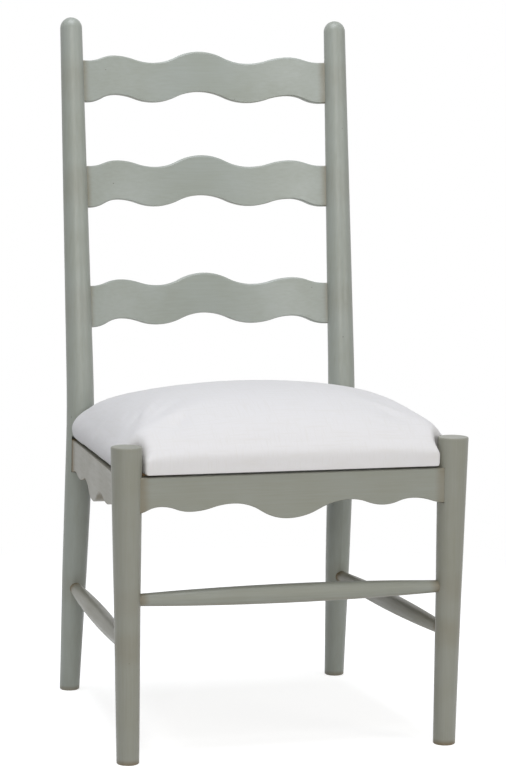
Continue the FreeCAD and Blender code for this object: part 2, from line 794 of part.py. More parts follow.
# Corner blocks: each fills the corner between two aprons, clear of the leg, and carries the seat
side_direction = Vector(math.cos(math.radians(side_angle)), math.sin(math.radians(side_angle)), 0)
inward = Vector(-side_direction.y, side_direction.x, 0)
inner_line = Vector(side_start.x, side_start.y, 0).add(Vector(inward).multiply(thickness - set_out))
inner_front_y = front_face_y + thickness
inner_rear_y = rear_axis_y - thickness / 2


def inner_corner(y):
    along = (y - inner_line.y) / side_direction.y
    return inner_line.add(Vector(side_direction).multiply(along))


def block_points(corner, way):
    near = size("block_near_leg")
    far = size("block_far_leg")
    along = Vector(side_direction).multiply(way)
    return [
        corner.add(Vector(-far, 0, 0)),
        corner.add(Vector(-near, 0, 0)),
        corner.add(Vector(along).multiply(near)),
        corner.add(Vector(along).multiply(far)),
    ]


def screw_place(corner, way):
    middle = size("screw_from_corner")
    return corner.add(Vector(-middle, 0, 0)).add(Vector(side_direction).multiply(way * middle))


block_corners = {"front": (inner_corner(inner_front_y), 1), "rear": (inner_corner(inner_rear_y), -1)}
screw_hole = size("screw_shank_radius") + size("screw_clearance")
screw_places = []
for end, (corner, way) in block_corners.items():
    points = block_points(corner, way)
    screw = screw_place(corner, way)
    lowest_rest = min(rest_height - fall_at(point.y) for point in points)
    top = lowest_rest
    block = new_body(end + "_corner_block_right")
    outline = new_sketch(block, end + "_block_outline", Placement(Vector(0, 0, top - size("block_height")), Rotation()))
    add_polygon(outline, points)
    block_pad = pad(block, outline, size("block_height"), name=end + "_block_pad")
    block_pad.setExpression("Length", "Sizes.block_height")
    hole = new_sketch(block, end + "_block_hole", Placement(Vector(0, 0, top), Rotation()))
    add_circle(hole, screw_hole, centre=screw)
    pocket(block, hole, 2 * size("block_height"), name=end + "_block_hole_cut")
    mirrored(block, end + "_corner_block_left")
    for side in (-1, 1):
        screw_places.append(Vector(side * screw.x, screw.y, top - size("block_height")))

# Blind holes for the screws in the underside of the seat board
board_holes = new_body("board_holes")
board_holes.Placement = seat_frame
hole_sketch = new_sketch(board_holes, "board_holes_outline", Placement(Vector(0, 0, 0), Rotation()))
for place in screw_places:
    local = seat_frame.inverse().multVec(Vector(place.x, place.y, rest_height - fall_at(place.y)))
    add_circle(hole_sketch, screw_hole, centre=Vector(local.x, local.y, 0))
pad(board_holes, hole_sketch, cover_thickness + size("screw_hold_in_board") + end_clearance, name="board_holes_pad")
seat_board = doc.addObject("Part::Cut", "seat_board")
seat_board.Label = "seat_board"
seat_board.Base = board_blank
seat_board.Tool = board_holes

# Seat screws: round heads under the blocks, shanks up into the board
screws = []
for number, place in enumerate(screw_places):
    screw = new_body("seat_screw_%d" % (number + 1))
    screw.Placement = Placement(place, Rotation())
    rest = rest_height - fall_at(place.y)
    tip = rest - place.z + cover_thickness + size("screw_hold_in_board")
    head = size("screw_head_radius")
    shank = size("screw_shank_radius")
    depth = size("screw_head_height")
    profile = new_sketch(screw, "seat_screw_%d_profile" % (number + 1), upright(Placement()))
    bevel = size("screw_head_bevel")
    add_polygon(profile, [
        (0, -depth), (head - bevel, -depth), (head, bevel - depth), (head, 0),
        (shank, 0), (shank, tip - shank), (0, tip),
    ])
    turned = screw.newObject("PartDesign::Revolution", "seat_screw_%d_turned" % (number + 1))
    turned.Profile = profile
    turned.ReferenceAxis = (profile, ["V_Axis"])
    turned.Angle = 360.0
    screws.append(screw)
seat_screws = doc.addObject("Part::Compound", "seat_screws")
seat_screws.Label = "seat_screws"
seat_screws.Links = screws

# Cover: the outside form less the inside form and the open middle of its underside
opening = new_body("cover_opening")
opening.Placement = seat_frame
opening_outline = new_sketch(opening, "cover_opening_outline", Placement(Vector(0, 0, -cover_thickness), Rotation()))
turn_under = size("cover_turn_under")


def inside_ring(inset, front_cut, rear_cut):
    # The eight corners of a seat-shaped opening, cut across at the legs
    front = seat_front + inset
    rear = seat_rear - inset
    front_x = half_width(front, inset)
    rear_x = half_width(rear, inset)
    half = [
        (front_x - front_cut[0], front),
        (half_width(front + front_cut[1], inset), front + front_cut[1]),
        (half_width(rear - rear_cut[1], inset), rear - rear_cut[1]),
        (rear_x - rear_cut[0], rear),
    ]
    return half + [(-x, y) for x, y in reversed(half)]


front_cut = (size("opening_front_cut_across"), size("opening_front_cut_along"))
rear_cut = (size("opening_rear_cut_across"), size("opening_rear_cut_along"))
add_polygon(opening_outline, inside_ring(turn_under, front_cut, rear_cut))
pad(opening, opening_outline, 4 * cover_thickness, name="cover_opening_pad")
hollow = doc.addObject("Part::MultiFuse", "cover_hollow")
hollow.Shapes = [cushion_inside, opening]
seat_cover = doc.addObject("Part::Cut", "seat_cover")
seat_cover.Label = "seat_cover"
seat_cover.Base = cushion_outside
seat_cover.Tool = hollow
seat_foam = doc.addObject("Part::Cut", "seat_foam")
seat_foam.Label = "seat_foam"
seat_foam.Base = cushion_inside
seat_foam.Tool = board_blank

# Dust cover: thin cloth under the seat, inside the aprons and cut across at the blocks
dust_cover = new_body("dust_cover")
dust_cover.Placement = seat_frame
dust = size("dust_cover_thickness")
dust_outline = new_sketch(dust_cover, "dust_cover_outline", Placement(Vector(0, 0, -dust), Rotation()))
gap = size("dust_cover_edge_gap")
to_seat = seat_frame.inverse()
dust_half = []
for end, (corner, way) in block_corners.items():
    points = [to_seat.multVec(Vector(point.x, point.y, rest_height)) for point in block_points(corner, way)]
    across = points[0]
    along = points[3]
    edge_y = across.y + way * gap
    dust_half.append([(across.x - gap, edge_y), (along.x - gap, along.y + way * gap)])
front_pair, rear_pair = dust_half
half = [front_pair[0], front_pair[1], rear_pair[1], rear_pair[0]]
add_polygon(dust_outline, half + [(-x, y) for x, y in reversed(half)])
dust_pad = pad(dust_cover, dust_outline, dust, name="dust_cover_pad")
dust_pad.setExpression("Length", "Sizes.dust_cover_thickness")
doc.recompute()

# Every object is sound before the pieces are written
for item in doc.Objects:
    if "Invalid" in item.State or "Error" in item.State:
        raise RuntimeError(item.Name + " is " + ", ".join(item.State))
nodes = [
    "rear_post_right", "rear_post_left", "front_leg_right", "front_leg_left",
    "top_slat", "middle_slat", "bottom_slat",
    "front_apron", "side_apron_right", "side_apron_left", "rear_apron",
    "front_stretcher", "side_stretcher_right", "side_stretcher_left",
    "front_corner_block_right", "front_corner_block_left", "rear_corner_block_right", "rear_corner_block_left",
    "seat_screws", "seat_board", "seat_foam", "seat_cover", "dust_cover",
]
for label in nodes:
    item = doc.getObjectsByLabel(label)[0]
    if item.Shape.isNull() or not item.Shape.isValid():
        raise RuntimeError(label + " has no sound shape")
    item.Shape.exportStep("parts/" + label + ".step")
    box = item.Shape.BoundBox
    print(label, round(item.Shape.Volume / 1000, 1), [round(v, 1) for v in (box.XMin, box.XMax, box.YMin, box.YMax, box.ZMin, box.ZMax)])
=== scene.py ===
import math

import bpy
from mathutils import Matrix, Vector


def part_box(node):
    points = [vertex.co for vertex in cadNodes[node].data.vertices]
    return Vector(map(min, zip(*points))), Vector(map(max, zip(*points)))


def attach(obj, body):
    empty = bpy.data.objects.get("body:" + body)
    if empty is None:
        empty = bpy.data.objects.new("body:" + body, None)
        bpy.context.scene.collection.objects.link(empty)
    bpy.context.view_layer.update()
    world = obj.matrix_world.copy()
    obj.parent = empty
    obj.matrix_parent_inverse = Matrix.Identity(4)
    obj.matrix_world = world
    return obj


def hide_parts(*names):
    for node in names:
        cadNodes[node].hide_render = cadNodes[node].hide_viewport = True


# Ladderback chair in sage paint with a linen slip seat. Metres, Z up, the front towards -Y.
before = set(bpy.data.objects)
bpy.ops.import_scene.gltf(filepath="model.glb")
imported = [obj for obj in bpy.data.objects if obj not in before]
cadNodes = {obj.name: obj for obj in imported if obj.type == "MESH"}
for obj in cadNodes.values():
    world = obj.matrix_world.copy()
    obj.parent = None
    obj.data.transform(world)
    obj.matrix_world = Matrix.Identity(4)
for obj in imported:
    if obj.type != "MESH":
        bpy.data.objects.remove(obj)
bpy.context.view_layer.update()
print("frame loaded:", len(cadNodes), "pieces")


# Hand tools

def deselectAll():
    bpy.ops.object.select_all(action="DESELECT")


def pickUp(piece):
    # the one piece that the next operators work on
    deselectAll()
    piece.select_set(True)
    bpy.context.view_layer.objects.active = piece


def copyOf(nodeName, newName):
    # a loose copy of a CAD piece, its triangles welded together
    piece = bpy.data.objects.new(newName, cadNodes[nodeName].data.copy())
    bpy.context.scene.collection.objects.link(piece)
    pickUp(piece)
    bpy.ops.object.mode_set(mode="EDIT")
    bpy.ops.mesh.select_all(action="SELECT")
    bpy.ops.mesh.remove_doubles(threshold=0.00002)
    bpy.ops.mesh.customdata_custom_splitnormals_clear()
    bpy.ops.object.mode_set(mode="OBJECT")
    return piece


# Finishes

def colourOf(code):
    # sRGB hex to the linear values that the shader takes
    channels = [int(code[i:i + 2], 16) / 255 for i in (1, 3, 5)]
    return tuple(c / 12.92 if c <= 0.04045 else ((c + 0.055) / 1.055) ** 2.4 for c in channels) + (1.0,)


def newFinish(name):
    finish = bpy.data.materials.new(name)
    finish.use_nodes = True
    finish.node_tree.nodes.clear()
    return finish


def addNode(finish, kind, sockets=None, **settings):
    node = finish.node_tree.nodes.new(kind)
    for key, value in settings.items():
        setattr(node, key, value)
    for key, value in (sockets or {}).items():
        if isinstance(value, bpy.types.NodeSocket):
            finish.node_tree.links.new(value, node.inputs[key])
        else:
            node.inputs[key].default_value = value
    return node


def putOn(piece, finish):
    if piece.material_slots:
        for place in piece.material_slots:
            place.material = finish
    else:
        piece.data.materials.append(finish)


# Satin milk paint on beech, brushed and then glazed with umber that is wiped off and stays in the joints
sagePaint = {
    "colour": "#A0A6A0",
    "thinColour": "#979C92",      # where the brush left less paint
    "glazeAndShadeColour": "#6A5630",           # umber that stays beside the joints; also used as painted shade on faces that look down and on the side pieces
    "speck": "#3A3324",
    "brushLine": 0.0014,          # one brush hair's mark, drawn coarse enough to show
    "brushStretch": 30.0,         # how much longer a mark is than wide
    "cloud": 0.070,
    "strokeShare": 0.45,          # how far a stroke and a cloud turn the paint to the thin colour
    "cloudShare": 0.55,
    "shadeBelow": 0.30,           # painted shade: the glaze colour laid on faces that look down
    "strokeRelief": 0.0002,
    "speckSpacing": 0.030,
    "speckRadius": 0.0009,
    "roughness": 0.38,
    "ior": 1.50,
}


def paintedWood(name, grain, bands=(), spots=(), extraGlazeAndShade=0.0):
    # gives the eye a soft sheen, faint strokes along the grain, brown lines where pieces meet and painted
    # shade in the glaze colour on faces that look down and on the side pieces
    finish = newFinish(name)
    place = addNode(finish, "ShaderNodeTexCoord").outputs["Object"]
    axes = addNode(finish, "ShaderNodeSeparateXYZ", {0: place}).outputs
    across = {"X": addNode(finish, "ShaderNodeMath", {0: axes["X"]}, operation="ABSOLUTE").outputs[0],
              "Y": axes["Y"], "Z": axes["Z"]}
    halved = addNode(finish, "ShaderNodeCombineXYZ", across).outputs[0]

    stretch = {axis: 1.0 / sagePaint["brushStretch"] if axis == grain else 1.0 for axis in "XYZ"}
    grainPlace = addNode(finish, "ShaderNodeMapping",
                         {"Vector": place, "Scale": (stretch["X"], stretch["Y"], stretch["Z"])}).outputs[0]
    strokes = addNode(finish, "ShaderNodeTexNoise",
                      {"Vector": grainPlace, "Scale": 1.0 / sagePaint["brushLine"] / 2.0,
                       "Detail": 2.0, "Roughness": 0.6}).outputs[0]
    clouds = addNode(finish, "ShaderNodeTexNoise",
                     {"Vector": place, "Scale": 1.0 / sagePaint["cloud"], "Detail": 3.0}).outputs[0]
    strokeShare = addNode(finish, "ShaderNodeMapRange",
                          {0: strokes, 1: 0.35, 2: 0.70, 3: 0.0, 4: sagePaint["strokeShare"]}).outputs[0]
    cloudShare = addNode(finish, "ShaderNodeMapRange",
                         {0: clouds, 1: 0.35, 2: 0.70, 3: 0.0, 4: sagePaint["cloudShare"]}).outputs[0]
    thin = addNode(finish, "ShaderNodeMath", {0: strokeShare, 1: cloudShare}, operation="ADD",
                   use_clamp=True).outputs[0]
    paint = addNode(finish, "ShaderNodeMix",
                    {0: thin, 6: colourOf(sagePaint["colour"]), 7: colourOf(sagePaint["thinColour"])},
                    data_type="RGBA").outputs[2]

    # the wiped glaze: bands across a piece's ends, round spots about a joint
    shares = []
    for band in bands:
        shares.append(addNode(finish, "ShaderNodeMapRange",
                              {0: across[band["axis"]], 1: band["clear"], 2: band["full"],
                               3: 0.0, 4: band["share"]}, interpolation_type="SMOOTHSTEP").outputs[0])
    for spot in spots:
        away = addNode(finish, "ShaderNodeVectorMath", {0: halved, 1: spot["centre"]},
                       operation="DISTANCE").outputs["Value"]
        shares.append(addNode(finish, "ShaderNodeMapRange",
                              {0: away, 1: spot["clear"], 2: spot["full"], 3: 0.0, 4: spot["share"]},
                              interpolation_type="SMOOTHSTEP").outputs[0])
    # painted shade: faces that look down are darkened with the glaze colour
    facing = addNode(finish, "ShaderNodeSeparateXYZ",
                     {0: addNode(finish, "ShaderNodeNewGeometry").outputs["Normal"]}).outputs["Z"]
    shares.append(addNode(finish, "ShaderNodeMapRange",
                          {0: facing, 1: -0.45, 2: -0.95, 3: 0.0, 4: sagePaint["shadeBelow"]}).outputs[0])
    glazeAndShadeShare = shares[0]
    for share in shares[1:]:
        glazeAndShadeShare = addNode(finish, "ShaderNodeMath", {0: glazeAndShadeShare, 1: share},
                             operation="MAXIMUM").outputs[0]
    wiped = addNode(finish, "ShaderNodeMapRange",
                    {0: clouds, 1: 0.30, 2: 0.65, 3: 0.55, 4: 1.0}).outputs[0]
    glazeAndShadeShare = addNode(finish, "ShaderNodeMath", {0: glazeAndShadeShare, 1: wiped}, operation="MULTIPLY").outputs[0]
    # a share of glaze colour over the whole piece; the larger shares on the side aprons and side stretchers
    # are painted shade on faces turned away from the lamps
    glazeAndShadeShare = addNode(finish, "ShaderNodeMath", {0: glazeAndShadeShare, 1: extraGlazeAndShade}, operation="ADD",
                         use_clamp=True).outputs[0]
    glazedAndShaded = addNode(finish, "ShaderNodeMix", {0: glazeAndShadeShare, 6: paint, 7: colourOf(sagePaint["glazeAndShadeColour"])},
                     data_type="RGBA").outputs[2]

    # a few dark specks, flicked from the glaze brush
    flicked = addNode(finish, "ShaderNodeTexVoronoi",
                      {"Vector": place, "Scale": 1.0 / sagePaint["speckSpacing"]}).outputs["Distance"]
    radius = sagePaint["speckRadius"] / sagePaint["speckSpacing"]
    speckShare = addNode(finish, "ShaderNodeMapRange",
                         {0: flicked, 1: radius, 2: radius * 0.5, 3: 0.0, 4: 0.85}).outputs[0]
    specked = addNode(finish, "ShaderNodeMix", {0: speckShare, 6: glazedAndShaded, 7: colourOf(sagePaint["speck"])},
                      data_type="RGBA").outputs[2]

    sheen = addNode(finish, "ShaderNodeMapRange",
                    {0: thin, 1: 0.0, 2: 1.0, 3: sagePaint["roughness"] - 0.04,
                     4: sagePaint["roughness"] + 0.08}).outputs[0]
    relief = addNode(finish, "ShaderNodeBump",
                     {"Height": strokes, "Strength": 0.20, "Distance": sagePaint["strokeRelief"]}).outputs[0]
    coat = addNode(finish, "ShaderNodeBsdfPrincipled",
                   {"Base Color": specked, "Roughness": sheen, "Normal": relief, "IOR": sagePaint["ior"]})
    addNode(finish, "ShaderNodeOutputMaterial", {"Surface": coat.outputs[0]})
    return finish


slatEnds = [{"axis": "X", "clear": 0.183, "full": 0.196, "share": 0.62}]
apronEnds = [{"axis": "X", "clear": 0.208, "full": 0.223, "share": 0.45}]
sideEnds = [{"axis": "Y", "clear": -0.215, "full": -0.243, "share": 0.60},
            {"axis": "Y", "clear": 0.115, "full": 0.152, "share": 0.60}]
frontStretcherEnds = [{"axis": "X", "clear": 0.206, "full": 0.223, "share": 0.60}]
sideStretcherEnds = [{"axis": "Y", "clear": -0.222, "full": -0.243, "share": 0.60},
                     {"axis": "Y", "clear": 0.140, "full": 0.172, "share": 0.60}]
footLine = [{"axis": "Z", "clear": 0.010, "full": 0.001, "share": 0.65}]
frontLegSpots = [{"centre": (0.2395, -0.2581, 0.2342), "clear": 0.034, "full": 0.018, "share": 0.10},
                 {"centre": (0.2388, -0.2581, 0.1670), "clear": 0.034, "full": 0.018, "share": 0.10}]
postSpots = [{"centre": (0.2120, 0.2263, 0.952), "clear": 0.046, "full": 0.022, "share": 0.09},
             {"centre": (0.2120, 0.2066, 0.791), "clear": 0.046, "full": 0.022, "share": 0.09},
             {"centre": (0.2120, 0.1842, 0.608), "clear": 0.046, "full": 0.022, "share": 0.09},
             {"centre": (0.2155, 0.1800, 0.1670), "clear": 0.034, "full": 0.018, "share": 0.10}]

# the last number of a job darkens the whole piece with glaze colour; on the side aprons and side stretchers it
# is painted shade
paintJobs = {
    "paintedSlats": (("top_slat", "middle_slat", "bottom_slat"),
                     {"grain": "X", "bands": slatEnds}),
    "paintedPosts": (("rear_post_right", "rear_post_left"),
                     {"grain": "Z", "bands": footLine, "spots": postSpots, "extraGlazeAndShade": 0.06}),
    "paintedFrontLegs": (("front_leg_right", "front_leg_left"),
                         {"grain": "Z", "bands": footLine, "spots": frontLegSpots, "extraGlazeAndShade": 0.32}),
    "paintedFrontApron": (("front_apron", "rear_apron"),
                          {"grain": "X", "bands": apronEnds, "extraGlazeAndShade": 0.24}),
    "paintedSideAprons": (("side_apron_right", "side_apron_left"),
                          {"grain": "Y", "bands": sideEnds, "extraGlazeAndShade": 0.46}),
    "paintedFrontStretcher": (("front_stretcher",),
                              {"grain": "X", "bands": frontStretcherEnds, "extraGlazeAndShade": 0.22}),
    "paintedSideStretchers": (("side_stretcher_right", "side_stretcher_left"),
                              {"grain": "Y", "bands": sideStretcherEnds, "extraGlazeAndShade": 0.42}),
}
for finishName, (nodeNames, job) in paintJobs.items():
    finish = paintedWood(finishName, **job)
    for nodeName in nodeNames:
        putOn(cadNodes[nodeName], finish)
print("sage paint on the frame")


# Bare beech, sawn and sanded, for the corner blocks under the seat
bareBeech = {"light": "#D9BC92", "dark": "#B98F5E", "ring": 0.0045, "stretch": 22.0, "fleck": 0.0016,
             "relief": 0.0003}


def sawnBeech(name, grain):
    # straight growth rings with the short flecks that beech shows, and no gloss
    finish = newFinish(name)
    place = addNode(finish, "ShaderNodeTexCoord").outputs["Object"]
    stretch = {axis: 1.0 / bareBeech["stretch"] if axis == grain else 1.0 for axis in "XYZ"}
    along = addNode(finish, "ShaderNodeMapping",
                    {"Vector": place, "Scale": (stretch["X"], stretch["Y"], stretch["Z"])}).outputs[0]
    rings = addNode(finish, "ShaderNodeTexNoise",
                    {"Vector": along, "Scale": 0.5 / bareBeech["ring"], "Detail": 4.0}).outputs[0]
    flecks = addNode(finish, "ShaderNodeTexNoise",
                     {"Vector": along, "Scale": 0.5 / bareBeech["fleck"], "Detail": 1.0}).outputs[0]
    ringShare = addNode(finish, "ShaderNodeMapRange", {0: rings, 1: 0.35, 2: 0.65}).outputs[0]
    fleckShare = addNode(finish, "ShaderNodeMapRange",
                         {0: flecks, 1: 0.58, 2: 0.68, 3: 0.0, 4: 0.5}).outputs[0]
    share = addNode(finish, "ShaderNodeMath", {0: ringShare, 1: fleckShare}, operation="ADD",
                    use_clamp=True).outputs[0]
    colour = addNode(finish, "ShaderNodeMix",
                     {0: share, 6: colourOf(bareBeech["light"]), 7: colourOf(bareBeech["dark"])},
                     data_type="RGBA").outputs[2]
    relief = addNode(finish, "ShaderNodeBump",
                     {"Height": rings, "Strength": 0.3, "Distance": bareBeech["relief"]}).outputs[0]
    wood = addNode(finish, "ShaderNodeBsdfPrincipled",
                   {"Base Color": colour, "Roughness": 0.68, "Normal": relief, "IOR": 1.5})
    addNode(finish, "ShaderNodeOutputMaterial", {"Surface": wood.outputs[0]})
    return finish


blockFinish = sawnBeech("sawnBeech", "X")
for nodeName in ("front_corner_block_right", "front_corner_block_left",
                 "rear_corner_block_right", "rear_corner_block_left"):
    putOn(cadNodes[nodeName], blockFinish)


# Birch plywood for the seat board: veneers that show as lines on the edge
plyBoard = {"face": "#D8C09A", "faceDark": "#C4A577", "glueLine": "#8A6A45", "veneer": 0.0015,
            "grainWidth": 0.0076923, "stretch": 20.0}


def birchPly(name):
    # pale long grain on the faces and thin brown glue lines between the veneers on the edges
    finish = newFinish(name)
    place = addNode(finish, "ShaderNodeTexCoord").outputs["Object"]
    height = addNode(finish, "ShaderNodeSeparateXYZ", {0: place}).outputs["Z"]
    layer = addNode(finish, "ShaderNodeMath", {0: height, 1: plyBoard["veneer"]},
                    operation="MODULO").outputs[0]
    glueLine = addNode(finish, "ShaderNodeMath", {0: layer, 1: plyBoard["veneer"] * 0.25},
                       operation="LESS_THAN").outputs[0]
    along = addNode(finish, "ShaderNodeMapping",
                    {"Vector": place, "Scale": (1.0 / plyBoard["stretch"], 1.0, 1.0)}).outputs[0]
    grain = addNode(finish, "ShaderNodeTexNoise",
                    {"Vector": along, "Scale": 1.0 / plyBoard["grainWidth"], "Detail": 3.0}).outputs[0]
    facing = addNode(finish, "ShaderNodeSeparateXYZ",
                     {0: addNode(finish, "ShaderNodeNewGeometry").outputs["Normal"]}).outputs["Z"]
    flat = addNode(finish, "ShaderNodeMath", {0: facing}, operation="ABSOLUTE").outputs[0]
    edge = addNode(finish, "ShaderNodeMath", {0: flat, 1: 0.5}, operation="LESS_THAN").outputs[0]
    lines = addNode(finish, "ShaderNodeMath", {0: edge, 1: glueLine}, operation="MULTIPLY").outputs[0]
    face = addNode(finish, "ShaderNodeMix",
                   {0: grain, 6: colourOf(plyBoard["face"]), 7: colourOf(plyBoard["faceDark"])},
                   data_type="RGBA").outputs[2]
    colour = addNode(finish, "ShaderNodeMix", {0: lines, 6: face, 7: colourOf(plyBoard["glueLine"])},
                     data_type="RGBA").outputs[2]
    board = addNode(finish, "ShaderNodeBsdfPrincipled", {"Base Color": colour, "Roughness": 0.6, "IOR": 1.5})
    addNode(finish, "ShaderNodeOutputMaterial", {"Surface": board.outputs[0]})
    return finish


putOn(cadNodes["seat_board"], birchPly("birchPly"))


# Zinc-plated steel for the seat screws
zincPlate = {"bright": "#C9CCCB", "dull": "#A9A794", "spangle": 0.0022, "roughness": 0.34}


def platedSteel(name):
    # a cool metal with slightly yellow, duller patches where the plating is thin
    finish = newFinish(name)
    place = addNode(finish, "ShaderNodeTexCoord").outputs["Object"]
    patches = addNode(finish, "ShaderNodeTexNoise",
                      {"Vector": place, "Scale": 1.0 / zincPlate["spangle"], "Detail": 2.0}).outputs[0]
    colour = addNode(finish, "ShaderNodeMix",
                     {0: patches, 6: colourOf(zincPlate["bright"]), 7: colourOf(zincPlate["dull"])},
                     data_type="RGBA").outputs[2]
    gloss = addNode(finish, "ShaderNodeMapRange",
                    {0: patches, 1: 0.3, 2: 0.7, 3: zincPlate["roughness"] - 0.06,
                     4: zincPlate["roughness"] + 0.1}).outputs[0]
    steel = addNode(finish, "ShaderNodeBsdfPrincipled",
                    {"Base Color": colour, "Roughness": gloss, "Metallic": 1.0})
    addNode(finish, "ShaderNodeOutputMaterial", {"Surface": steel.outputs[0]})
    return finish


screwFinish = platedSteel("zincPlatedSteel")
putOn(cadNodes["seat_screws"], screwFinish)


# Black spun-bonded cambric under the seat, embossed with a fine grid of dots
cambric = {"colour": "#24242A", "dot": "#34343C", "pitch": 0.0024, "fibre": 0.0011111,
           "relief": 0.0002, "roughness": 0.85}


def spunCambric(name):
    # a dull black cloth; its pressed dots are painted a little lighter, a painted sheen
    finish = newFinish(name)
    place = addNode(finish, "ShaderNodeTexCoord").outputs["Object"]
    dots = addNode(finish, "ShaderNodeTexVoronoi",
                   {"Vector": place, "Scale": 1.0 / cambric["pitch"], "Randomness": 0.0}).outputs["Distance"]
    dotShare = addNode(finish, "ShaderNodeMapRange", {0: dots, 1: 0.30, 2: 0.18, 3: 0.0, 4: 1.0}).outputs[0]
    fibres = addNode(finish, "ShaderNodeTexNoise",
                     {"Vector": place, "Scale": 1.0 / cambric["fibre"], "Detail": 4.0}).outputs[0]
    share = addNode(finish, "ShaderNodeMath", {0: dotShare, 1: fibres}, operation="MULTIPLY").outputs[0]
    colour = addNode(finish, "ShaderNodeMix",
                     {0: share, 6: colourOf(cambric["colour"]), 7: colourOf(cambric["dot"])},
                     data_type="RGBA").outputs[2]
    relief = addNode(finish, "ShaderNodeBump",
                     {"Height": dots, "Strength": 0.5, "Distance": cambric["relief"]}).outputs[0]
    cloth = addNode(finish, "ShaderNodeBsdfPrincipled",
                    {"Base Color": colour, "Roughness": cambric["roughness"], "Normal": relief, "IOR": 1.48})
    addNode(finish, "ShaderNodeOutputMaterial", {"Surface": cloth.outputs[0]})
    return finish


putOn(cadNodes["dust_cover"], spunCambric("spunCambric"))


# Bleached linen and cotton cloth, plain weave, pulled tight over the pad
linenCloth = {
    "warp": "#E9E8EA",
    "weft": "#E2E0E0",
    "slub": "#DDDAD6",           # thicker, less bleached threads
    "threadSpacing": 0.0011,     # about 0.7 mm in the cloth, drawn coarser so that the weave shows
    "slubLength": 0.045,
    "slubWidth": 2.5,            # in threads
    "slubDepth": 60.0,
    "slubShare": 0.35,
    "relief": 0.0003,
    "roughness": 0.82,
    "sheen": 0.25,
}


def plainWeave(name):
    # a matt cloth with a fine even grid, a few uneven threads and a little soft light at its edges
    finish = newFinish(name)
    place = addNode(finish, "ShaderNodeTexCoord").outputs["Object"]
    facing = addNode(finish, "ShaderNodeSeparateXYZ",
                     {0: addNode(finish, "ShaderNodeNewGeometry").outputs["Normal"]}).outputs
    axes = addNode(finish, "ShaderNodeSeparateXYZ", {0: place}).outputs
    wave = {}
    for axis in "XYZ":
        turns = addNode(finish, "ShaderNodeMath",
                        {0: axes[axis], 1: math.pi / linenCloth["threadSpacing"]},
                        operation="MULTIPLY").outputs[0]
        wave[axis] = addNode(finish, "ShaderNodeMath", {0: turns}, operation="SINE").outputs[0]
    # each thread goes over and under by turns, on the plane that the cloth faces most
    weave = None
    for first, second, normal in (("X", "Y", "Z"), ("X", "Z", "Y"), ("Y", "Z", "X")):
        crossing = addNode(finish, "ShaderNodeMath", {0: wave[first], 1: wave[second]},
                           operation="MULTIPLY").outputs[0]
        weight = addNode(finish, "ShaderNodeMath", {0: facing[normal], 1: facing[normal]},
                         operation="MULTIPLY").outputs[0]
        part = addNode(finish, "ShaderNodeMath", {0: crossing, 1: weight}, operation="MULTIPLY").outputs[0]
        if weave is None:
            weave = part
        else:
            weave = addNode(finish, "ShaderNodeMath", {0: weave, 1: part}, operation="ADD").outputs[0]
    threadShare = addNode(finish, "ShaderNodeMapRange", {0: weave, 1: -1.0, 2: 1.0}).outputs[0]
    slubShare = None
    along = 1.0 / linenCloth["slubLength"]
    across = 1.0 / linenCloth["threadSpacing"] / linenCloth["slubWidth"]
    for stretch in ((along, across, linenCloth["slubDepth"]), (across, along, linenCloth["slubDepth"])):
        run = addNode(finish, "ShaderNodeMapping", {"Vector": place, "Scale": stretch}).outputs[0]
        uneven = addNode(finish, "ShaderNodeTexNoise",
                         {"Vector": run, "Scale": 1.0, "Detail": 2.0}).outputs[0]
        thick = addNode(finish, "ShaderNodeMapRange",
                        {0: uneven, 1: 0.50, 2: 0.75, 3: 0.0, 4: linenCloth["slubShare"]}).outputs[0]
        if slubShare is None:
            slubShare = thick
        else:
            slubShare = addNode(finish, "ShaderNodeMath", {0: slubShare, 1: thick},
                                operation="MAXIMUM").outputs[0]
    threads = addNode(finish, "ShaderNodeMix",
                      {0: threadShare, 6: colourOf(linenCloth["weft"]), 7: colourOf(linenCloth["warp"])},
                      data_type="RGBA").outputs[2]
    colour = addNode(finish, "ShaderNodeMix", {0: slubShare, 6: threads, 7: colourOf(linenCloth["slub"])},
                     data_type="RGBA").outputs[2]
    height = addNode(finish, "ShaderNodeMath", {0: weave, 1: slubShare}, operation="ADD").outputs[0]
    relief = addNode(finish, "ShaderNodeBump",
                     {"Height": height, "Strength": 0.22, "Distance": linenCloth["relief"]}).outputs[0]
    cloth = addNode(finish, "ShaderNodeBsdfPrincipled",
                    {"Base Color": colour, "Roughness": linenCloth["roughness"], "Normal": relief,
                     "Sheen Weight": linenCloth["sheen"], "Sheen Roughness": 0.5, "IOR": 1.5})
    addNode(finish, "ShaderNodeOutputMaterial", {"Surface": cloth.outputs[0]})
    return finish


linenFinish = plainWeave("plainWeaveLinen")
print("cloths, wood and metal made")


# Cushion: the pad and its cover as one stuffed form, swollen a little by a cloth simulation
cushion = {
    "voxel": 0.0055,
    "drawnIn": 0.0030,       # the pad starts this much smaller
    "pressure": 4.0,
    "stiffSteps": 5,
    "frames": 20,
    "mostSwell": 0.0055,     # no point moves further than this in the simulation
    "seatFall": 0.0053,      # the underside is this much higher in front
    "heldBelow": 0.0200,     # the underside and the edge of the board stay as they are
    "blend": 0.022,          # the cloth leaves the board's edge over this height
    "legPlace": (0.2423, -0.2581),
    "cornerReach": 0.090,    # the cover is pulled round over each front leg's notch within this distance
    "cornerFade": 0.045,
    "cornerLevel": 0.436,
    "cornerRise": 0.014,
    "cornerTurns": 70,
    "leanLevel": 0.4530,     # above the leg's top the pad leans out over the notch
    "leanRise": 0.012,
    "lean": 0.008,
    "softTurns": 3,
    "smoothing": 0.5,
}


def clamped(share):
    return min(1.0, max(0.0, share))


